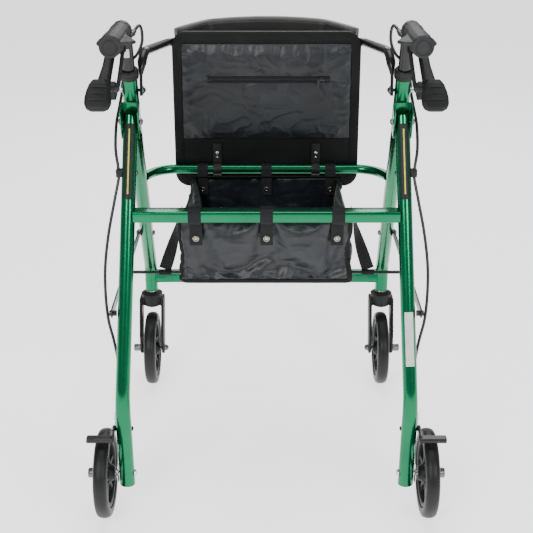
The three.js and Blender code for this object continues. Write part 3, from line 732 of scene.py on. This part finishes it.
boardPath = [(0, y, seatMiddle) for y in (104.0, 104.5, 106, 110, 111.5, 112)]
sweep("seat_base", boardPath, softBox(seat["width"] - 3, seatHeight - 3, 25, 10), "vinyl", "seat",
      ["seat_board"])
rimBand("seat_binding", seatOutline,
        [(16.5, 104.1), (16, 103.1), (14, 102.7), (3, 102.5), (0.8, 103), (-0.3, 104.4), (-0.5, 111),
         (0.4, 112), (2, 112.2), (2, 104.2)], "vinyl", "seat")

cushion = {"cap": 139, "voxel": 5.5, "pressure": 3.4, "frames": 20}
padPath = [(0, y, seatMiddle) for y in (112.8, 114, 118, 122, 125.5, 127)]
padScales = [(1, 1), (1.004, 1.004), (1.006, 1.006), (1.004, 1.004), (0.995, 0.995), (0.98, 0.98)]
pad = sweep("seat_cushion", padPath, softBox(seat["width"] - 5, seatHeight - 5, 25, 10), "vinyl",
            scales=padScales)
settled(pad, ("REMESH", {"mode": "VOXEL", "voxel_size": cushion["voxel"] * 0.001}))
held = [v.index for v in pad.data.vertices if v.co.y * 1000 < 114.2]
softened(pad, cushion["frames"], held, pressure=cushion["pressure"])
for vertex in pad.data.vertices:
    depth = vertex.co.y * 1000
    x, z = vertex.co.x * 1000, vertex.co.z * 1000
    # two sewn channels across the seat draw the cover in
    channel = sum(math.exp(-((z - line) / 7) ** 2) for line in (572, 668))
    limit = cushion["cap"] - 5 * channel
    if depth > limit - 6:
        depth = limit - 6 * math.exp(-(depth - limit + 6) / 6)
    vertex.co.y = max(depth, seat["back"] + 0.4) * 0.001
    vertex.co.x = max(-167, min(167, x)) * 0.001
    vertex.co.z = max(seat["bottom"], min(seat["top"], z)) * 0.001
settled(pad, ("SMOOTH", {"factor": 0.5, "iterations": 2}), ("SUBSURF", {"levels": 1}))
dress(pad, "vinyl", "seat", ["seat_pad"])

pouchSize = {"half": 151, "bottom": 569, "top": 741, "y": 103.0, "zip": 678.5, "step": 4.2}
columns = round(2 * pouchSize["half"] / pouchSize["step"])
rows = round((pouchSize["top"] - pouchSize["bottom"]) / pouchSize["step"])
zipRow = round((pouchSize["zip"] - pouchSize["bottom"]) / (pouchSize["top"] - pouchSize["bottom"]) * rows)
points, held = [], []
for row in range(rows + 1):
    for column in range(columns + 1):
        x = -pouchSize["half"] + 2 * pouchSize["half"] * column / columns
        z = pouchSize["bottom"] + (pouchSize["top"] - pouchSize["bottom"]) * row / rows
        edge = min(row, rows - row, column, columns - column, 8) / 8
        # slanting folds start the slack off
        fold = noise.noise(Vector((x * 0.018 + z * 0.02, z * 0.016 - x * 0.01, 3)))
        fine = noise.noise(Vector((x * 0.06, z * 0.05, 7)))
        points.append((x, pouchSize["y"] - edge * (2.4 + 3.4 * fold + 1.2 * fine), z))
        if edge < 0.1 or (row == zipRow and 10 < column < columns - 10):
            held.append(len(points) - 1)
            points[-1] = (x, pouchSize["y"] - (0 if edge < 0.1 else 3.6), z)
wide = columns + 1
faces = [(r * wide + c, r * wide + c + 1, (r + 1) * wide + c + 1, (r + 1) * wide + c)
         for r in range(rows) for c in range(columns)]
pouch = meshPiece("seat_pouch_cloth", points, faces, "nylon")
softened(pouch, 20, held, growth=0.018, gravity=(0, -2, -2), weight=1.0, stiff=16, bending=0.1)
for vertex in pouch.data.vertices:
    # it can't pass the board behind it or stand off further than its slack
    depth, limit = vertex.co.y * 1000, 98.2
    slack = limit - 1.7 * (1 - math.exp((depth - limit) / 4))
    vertex.co.y = (slack if depth < limit else min(103.2, depth)) * 0.001
settled(pouch, ("SMOOTH", {"factor": 0.4, "iterations": 1}), ("SUBSURF", {"levels": 1}))
crumpled(pouch, 1.9, 46, (0.75, 1, 1), 2.0)
for vertex in pouch.data.vertices:
    # stitched down along the zip
    x, y, z = (c * 1000 for c in vertex.co)
    near = math.exp(-((z - pouchSize["zip"]) / 9) ** 2) * (1 if -106 < x < 114 else 0.3)
    vertex.co.y = min(103.4, y + near * (98.6 - y)) * 0.001
settled(pouch, ("SOLIDIFY", {"thickness": 0.0006, "offset": 1.0}))
dress(pouch, "nylon", "seat", ["seat_pouch"])

zipLine = {"from": -101, "to": 109, "z": pouchSize["zip"], "y": 97.4, "pitch": 1.6}
tape = [(x, zipLine["y"], zipLine["z"]) for x in np.linspace(zipLine["from"] - 4, zipLine["to"] + 4, 30)]
ribbon("zip_tape", tape, [(0, 0, 1)] * 30, 12, 1.2, "webbing", "seat")
teeth = np.arange(zipLine["from"], zipLine["to"], zipLine["pitch"] / 2)
sweep("zip_teeth", [(x, zipLine["y"] - 0.6, zipLine["z"]) for x in teeth], ring(2.1, 1.1, 8), "plastic",
      "seat", across=(0, 0, 1), scales=[(1, 1) if i % 2 else (0.72, 0.7) for i in range(len(teeth))])
sweep("zip_slider", [(x, 96.2, zipLine["z"]) for x in (95, 97, 101, 104.5)], softBox(7.5, 3, 1.2, 3), "paint",
      "seat", across=(0, 0, 1), scales=[(0.6, 0.8), (1, 1), (1, 1), (0.7, 0.8)])
ribbon("zip_pull", [(93 - i * 0.2, 95, 679 - i * 3.4) for i in range(7)], [(1, 0, 0)] * 7, 5.6, 1.2, "paint",
       "seat")
for x in (zipLine["from"] - 1, zipLine["to"] + 1):
    ribbon(f"zip_stop_{'left' if x < 0 else 'right'}", [(x + d, 96.6, zipLine["z"]) for d in (-1.4, 1.4)],
           [(0, 0, 1)] * 2, 6, 1.6, "paint", "seat")

for name, side in sides.items():
    grasp = [(101.4, 560), (101.3, 548), (101.3, 534), (100.6, 523)]
    grasp += [(hoop["y"] + 10.1 * math.cos(a), hoop["z"] + 10.1 * math.sin(a))
              for a in np.linspace(0.75, 5.4, 11)]
    grasp += [(101.2, 502), (102.2, 493)]
    x = side * seat["clipX"]
    path = curveThrough([(x, y, z) for y, z in grasp], 4)
    ribbon(f"clip_seat_{name}", path, [(1, 0, 0)] * len(path), 15.5, 2.2, "plastic", "seat",
           [f"seat_clip_{name}"])
    turned(f"clip_screw_{name}", outward(-1, dome(2.6, 1.5, 0, 0.6)), (x, 100.1, 543), "bright", "seat",
           axis=(0, 1, 0), count=24)
    turned(f"clip_rivet_{name}", outward(-1, dome(1.6, 0.8, 0, 0.4)), (x, 100.1, 534.5), "bright", "seat",
           axis=(0, 1, 0), count=16)

print("backrest")

bow = {"radius": 7.5, "bend": 30}
half = [(203.4, -82.5, 691), (203.4, -75.5, 724), (200.2, -71, 760), (178, 150, 735), (105, 202, 735)]
backPath = spaced(bend([*[(-x, y, z) for x, y, z in half], *reversed(half)], bow["bend"], 12), 12)
flat = [max(0, min(1, (742 - p.z) / 20)) if p.y < -40 else 0 for p in backPath]
sweep("backrest_bow", backPath, ring(bow["radius"]), "paint", "front_frame", ["backrest_tube"],
      scales=[(1 - 0.68 * f, 1 + 0.15 * f) for f in flat])

bandCorners = [(-163.4, 160.4, 735), (-105, 202, 735), (105, 202, 735), (163.4, 160.4, 735)]
bandPath = spaced(bend(bandCorners, 38, 10), 7)
lengths = np.cumsum([0] + [(b - a).length for a, b in zip(bandPath, bandPath[1:])])
along = lengths / lengths[-1] * 2 - 1
tall = [1 - 0.21 * t * t for t in along]
lifted = [Vector((p.x, p.y, 704 + 35 * s)) for p, s in zip(bandPath, tall)]
endTaper = [min(1, 0.5 + (1 - abs(t)) * 9) for t in along]
band = sweep("backrest_pad", lifted, softBox(70, 22, 9.5, 7), "bandVinyl", "front_frame", ["backrest_band"],
             across=(0, 0, 1), scales=[(s, e) for s, e in zip(tall, endTaper)])
for label, height in (("top", 1), ("bottom", -1)):
    seam = []
    for i, p in enumerate(lifted):
        heading = (lifted[min(i + 1, len(lifted) - 1)] - lifted[max(i - 1, 0)]).normalized()
        inside = heading.cross(Vector((0, 0, 1)))
        inside = inside if inside.y < 0 else -inside
        seam.append(p + Vector((0, 0, height * 29 * tall[i])) + inside * (10.7 * endTaper[i]))
    sweep(f"backrest_welt_{label}", seam[1:-1], ring(0.9, count=8), "bandVinyl", "front_frame",
          across=(0, 0, 1))

print("tote bag")

bag = {
    "half": 145, "near": -133, "far": 83, "bottom": 389, "top": 500,
    "straps": (-117, 0, 117), "rows": 20, "floor": 10,
}
bagMiddle = (bag["near"] + bag["far"]) / 2
loop = []
for x, y in softBox(2 * bag["half"] - 2, bag["far"] - bag["near"] - 2, 12, 3):
    loop.append(Vector((x, y + bagMiddle, 0)))
loop = spaced(loop + [loop[0]], 5.6)[:-1]
count = len(loop)
points, held = [], []
for row in range(bag["rows"] + 1):
    part = row / bag["rows"]
    for i, p in enumerate(loop):
        # the walls lean in a little and start off uneven, so that they crease
        lean = 1 + 0.012 * part
        wave = 4.2 * noise.noise(Vector((p.x * 0.021 + part * 1.6, p.y * 0.021 - part * 0.9, part * 2.2)))
        wave *= math.sin(math.pi * part)
        out = Vector((p.x / bag["half"], (p.y - bagMiddle) / 108, 0))
        height = bag["top"] - part * (bag["top"] - bag["bottom"] + 4)
        spot = Vector((p.x * lean, bagMiddle + (p.y - bagMiddle) * lean, height))
        points.append(spot + out * wave)
        near = p.y < bag["near"] + 3 and any(abs(p.x - s) < 11 for s in bag["straps"])
        far = p.y > bag["far"] - 3 and abs(p.x) < bag["half"] - 8
        corner = abs(p.x) > bag["half"] - 9 and p.y < bag["near"] + 12
        if (row < 1 and (near or far or corner)) or row == bag["rows"]:
            held.append(len(points) - 1)
for row in range(1, bag["floor"] + 1):
    part = 1 - row / (bag["floor"] + 0.6)
    for p in loop:
        lift = 1.5 * noise.noise(Vector((p.x * part * 0.03, p.y * part * 0.03, 9)))
        held.append(len(points))
        points.append(Vector((p.x * part, bagMiddle + (p.y - bagMiddle) * part, bag["bottom"] - 3.5 + lift)))
allRows = bag["rows"] + bag["floor"]
faces = [(r * count + i, (r + 1) * count + i, (r + 1) * count + (i + 1) % count, r * count + (i + 1) % count)
         for r in range(allRows) for i in range(count)]
faces.append(tuple(reversed([allRows * count + i for i in range(count)])))
tote = meshPiece("tote", points, faces, "nylon")
softened(tote, 26, held, growth=0.055, weight=0.5, stiff=20, bending=0.08)
for vertex in tote.data.vertices:
    # clear of the crossbar below, the beam behind and the cross rod under it
    vertex.co.z = max(0.382, vertex.co.z)
    vertex.co.y = max(-0.1335, min(0.0875, vertex.co.y))
    vertex.co.x = max(-0.151, min(0.151, vertex.co.x))
settled(tote, ("SMOOTH", {"factor": 0.4, "iterations": 1}))
rings = [[tote.data.vertices[r * count + i].co * 1000 for i in range(count)] for r in range(bag["rows"] + 1)]
settled(tote, ("SUBSURF", {"levels": 1}))
crumpled(tote, 2.3, 52, (0.8, 0.8, 1.15), 6.0)
settled(tote, ("SOLIDIFY", {"thickness": 0.0007, "offset": 0.0}))
fold = {"axis": (0, 1, 0), "anchor": (0, 0.083, 0.4), "keep": 0.62}
dress(tote, "nylon", "front_frame", ["tote_bag"])
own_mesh(tote)
hem = [p + Vector((0, 0, 0.6)) for p in rings[0]]
corners = [min(range(count), key=lambda i: (loop[i] - Vector((x, y, 0))).length)
           for x, y in ((-143, -131), (143, -131), (-143, 81), (143, 81))]
edges = {"bag_hem": hem + [hem[0]], "bag_foot": rings[-1] + [rings[-1][0]]}
edges |= {f"bag_edge_{i}": [ring[corner] for ring in rings] for i, corner in enumerate(corners)}
for label, line in edges.items():
    wide = 7 if label == "bag_foot" else 9
    tape = sweep(label, line, softBox(wide, 2.4, 1, 2), "vinyl", "front_frame",
                 across=(0, 0, 1) if label in ("bag_hem", "bag_foot") else (1, 0, 0))
    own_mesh(tape)


def snap(name, place, facing, body, radius=5.6):
    turned(f"snap_{name}",
           [(0, 0), (0, radius), (1, radius + 0.1), (1.8, radius - 0.5), (2.1, radius - 1.3),
            (1.5, radius - 1.9), (1.1, radius - 2.3), (1.6, radius - 2.8), (2.2, radius - 3.8), (2.4, 0)],
           place, "snap", body, axis=facing, count=28)


for i, x in enumerate(bag["straps"]):
    around = [(-131.4, 468), (-131.6, 488), (-132.4, 506), (-133.8, 516.5), (-138, 520.2), (-149, 520.9),
              (-160, 520.2), (-164.6, 516.4), (-165.3, 509), (-164.6, 501.4), (-160, 497.7), (-149, 497),
              (-141, 496.4), (-137.6, 490), (-136.6, 478), (-136.3, 464), (-136.4, 452)]
    path = curveThrough([(x, y, z) for y, z in around], 4)
    ribbon(f"beam_strap_{i}", path, [(1, 0, 0)] * len(path), 21, 1.4, "webbing", "rear_frame")
    snap(f"beam_{i}", (x, -137.2, 464), (0, -1, 0), "rear_frame")
    over = [(80.4, 468), (80.6, 484), (81.4, 498)]
    over += [(hoop["y"] - 9.7 * math.cos(a), hoop["z"] + 9.7 * math.sin(a))
             for a in np.linspace(-0.15, 3.5, 9)]
    over += [(92, 500), (88.5, 488), (87.4, 470)]
    path = curveThrough([(x, y, z) for y, z in over], 4)
    ribbon(f"hoop_strap_{i}", path, [(1, 0, 0)] * len(path), 19, 1.3, "webbing", "front_frame")
    turned(f"snap_ring_{i}", [(0, 2.1), (0, 4.4), (0.8, 4.5), (1.5, 3.7), (1.5, 2.6), (0.9, 2.1), (0, 2.1)],
           (x, 79.7, 479), "snap", "front_frame", axis=(0, -1, 0), count=28)
    turned(f"snap_eye_{i}", [(0, 0), (0, 2.2), (0.5, 2.2), (0.5, 0)], (x, 79.7, 479), "dark", "front_frame",
           axis=(0, -1, 0), count=20)

pull = {"width": 22, "thick": 1.4, "y": -29.1, "foot": (181, 365.5), "head": (148, 480)}
for name, side in sides.items():
    steps = [i / 24 for i in range(25)]
    spine, wides = [], []
    for t in steps:
        x = pull["foot"][0] + (pull["head"][0] - pull["foot"][0]) * t
        z = pull["foot"][1] + (pull["head"][1] - pull["foot"][1]) * t
        spine.append((side * (x - 2.2 * math.sin(math.pi * t)), pull["y"] + 1.5 * math.sin(math.pi * t), z))
        turn = math.pi / 2 * min(1, max(0, t * 1.25 - 0.1))
        wides.append((math.cos(turn), side * math.sin(turn), 0))
    strap = ribbon(f"strap_{name}", spine, wides, pull["width"], pull["thick"], "webbing", "front_frame",
                   [f"pull_strap_{name}"])
    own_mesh(strap)
    turned(f"strap_loop_{name}",
           [(-11, 3.3), (-11, 4.9), (-10.4, 5.4), (10.4, 5.4), (11, 4.9), (11, 3.3), (-11, 3.3)],
           (side * pull["foot"][0], brace["kneeY"], brace["z"]), "webbing", "brace_front", count=24)

print("cables and labels")

clip = {"x": 241, "z": 574}
clipY = rearLegAt(1, clip["z"]).y
cable = {
    "radius": 2.5, "split": 7,
    "stops": [(204, -157, 804), (199, -147, 811), (196, -130, 812), (195, -110, 799), (198, -92, 778),
              (209, -76, 756), (228, -73, 738), (235, -65, 712), (238, -61, 690), (242, -66, 670),
              (246, -86, 645), (246, -110, 610), (clip["x"], clipY, clip["z"] + 8),
              (clip["x"], clipY, clip["z"] - 8), (248, -142, 530), (258, -158, 480), (264, -174, 430),
              (264, -188, 385), (260, -200, 345), (252, -208, 312), (246, -216, 280), (244, -226, 245),
              (247, -236, 210), (251, -240, 184)],
}
for name, side in sides.items():
    stops = [(side * x, y, z) for x, y, z in cable["stops"]]
    line = curveThrough(stops, 6)
    cutAt = cable["split"] * 6
    upper = sweep(f"cable_upper_{name}", line[:cutAt + 1], ring(cable["radius"], count=12), "sheath",
                  across=(0, 1, 0), stands=[f"brake_cable_{name}"])
    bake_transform(upper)
    lower = sweep(f"cable_lower_{name}", line[cutAt:], ring(cable["radius"], count=12), "sheath",
                  across=(0, 1, 0))
    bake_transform(lower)
    heading = (Vector(stops[1]) - Vector(stops[0])).normalized()
    turned(f"cable_adjuster_{name}",
           [(-4, 0), (-4, 3.2), (-1, 3.2), (-1, 4.4), (2, 4.4), (2, 3.6), (7, 3.6), (8, 2.7), (8, 0)],
           stops[0], "dark", f"handle_{name}", axis=heading, count=24)
    heading = (Vector(stops[-1]) - Vector(stops[-2])).normalized()
    turned(f"cable_barrel_{name}", [(-6, 0), (-6, 3.3), (3, 3.3), (4, 2.4), (4, 0)], stops[-1], "bright",
           "rear_frame", axis=heading, count=24)
    sweep(f"cable_wire_{name}", [stops[-1], (side * 252.6, -243, 172)], ring(0.8, count=10), "bright",
          "rear_frame", across=(0, 1, 0))
    cadCopy(f"cable_clip_{name}", f"clip_cable_{name}", "plastic", "rear_frame", bevel=0.8)
    turned(f"clip_stud_{name}", outward(-side, dome(3.8, 2.6, 11.9, 0.8)), rearLegAt(side, clip["z"]), "dark",
           "rear_frame", count=24)


labels = {"strip": (648, 533), "line": (640, 541), "leg": (361, 278), "handle": (776, 762)}


def decal(name, line, radius, half, finish, body):
    # a thin label wrapped round the near side of a tube, its line given downwards
    angles = np.linspace(math.pi / 2 - half, math.pi / 2 + half, 12)
    section = [((radius + 0.35) * math.cos(a), (radius + 0.35) * math.sin(a)) for a in angles]
    section += [((radius - 0.2) * math.cos(a), (radius - 0.2) * math.sin(a)) for a in reversed(angles)]
    return sweep(name, line, section, finish, body)


for name, side in sides.items():
    line = spaced([rearLegAt(side, z) for z in labels["strip"]], 6)
    decal(f"leg_strip_{name}", line, legs["rearRadius"], 0.62, "strip", "rear_frame")
    line = spaced([rearLegAt(side, z) for z in labels["line"]], 6)
    decal(f"leg_line_{name}", line, legs["rearRadius"] + 0.2, 0.09, "yellow", "rear_frame")
line = spaced([rearLegAt(1, z) for z in labels["leg"]], 6)
decal("leg_label", line, legs["rearRadius"], 0.6, "white", "rear_frame")
line = spaced([upperAxis(-1, z) for z in labels["handle"]], 4)
decal("handle_label", line, handle["radius"], 0.5, "white", "handle_left")

print("studio")

studio = {"reach": 6, "floorZ": -0.0006, "glow": 1.5, "worldGrey": 0.86, "worldStrength": 0.42}


def floorPaint():
    f = Finish("floor_paint")
    pale = f.blend(f.noise(0.6, 2), (0.76, 0.76, 0.76), (0.775, 0.775, 0.775))
    return f.surface(f.noise(300, 2), 0.02, 0.0001, Base_Color=pale, Roughness=0.85 + f.noise(3, 2) * 0.05,
                     Emission_Color=(1, 1, 1, 1), Emission_Strength=studio["glow"])


floorMesh = bpy.data.meshes.new("floor")
floorMesh.from_pydata([(studio["reach"] * u, studio["reach"] * v, studio["floorZ"])
                       for u, v in ((-1, -1), (1, -1), (1, 1), (-1, 1))], [], [(0, 1, 2, 3)])
floorMesh.materials.append(floorPaint())
placed("floor", floorMesh)

world = bpy.data.worlds.new("studio")
bpy.context.scene.world = world
world.use_nodes = True
background = world.node_tree.nodes["Background"].inputs
background["Color"].default_value = (*[studio["worldGrey"]] * 3, 1)
background["Strength"].default_value = studio["worldStrength"]

lamps = {
    "key": ((-1.1, -2.5, 2.0), 0.9, 46), "fill": ((1.5, -2.2, 1.6), 0.8, 28),
    "back": ((0.2, 2.4, 2.2), 1.6, 30), "overhead": ((0, 0.2, 2.8), 1.8, 36),
}
for name, (place, size, power) in lamps.items():
    light = bpy.data.lights.new(name, "AREA")
    light.shape, light.size, light.energy = "SQUARE", size, power
    lamp = placed(name, light)
    lamp.location = place
    lamp.rotation_euler = (Vector((0, 0, 0.4)) - Vector(place)).to_track_quat("-Z", "Y").to_euler()

view = {"place": (0, -1.8075, 1.092), "tilt": 67.9, "lens": 72.68}
camera = placed("camera", bpy.data.cameras.new("camera"))
camera.data.lens, camera.data.sensor_width = view["lens"], 36
camera.location = view["place"]
camera.rotation_euler = (math.radians(view["tilt"]), 0, 0)
bpy.context.scene.camera = camera
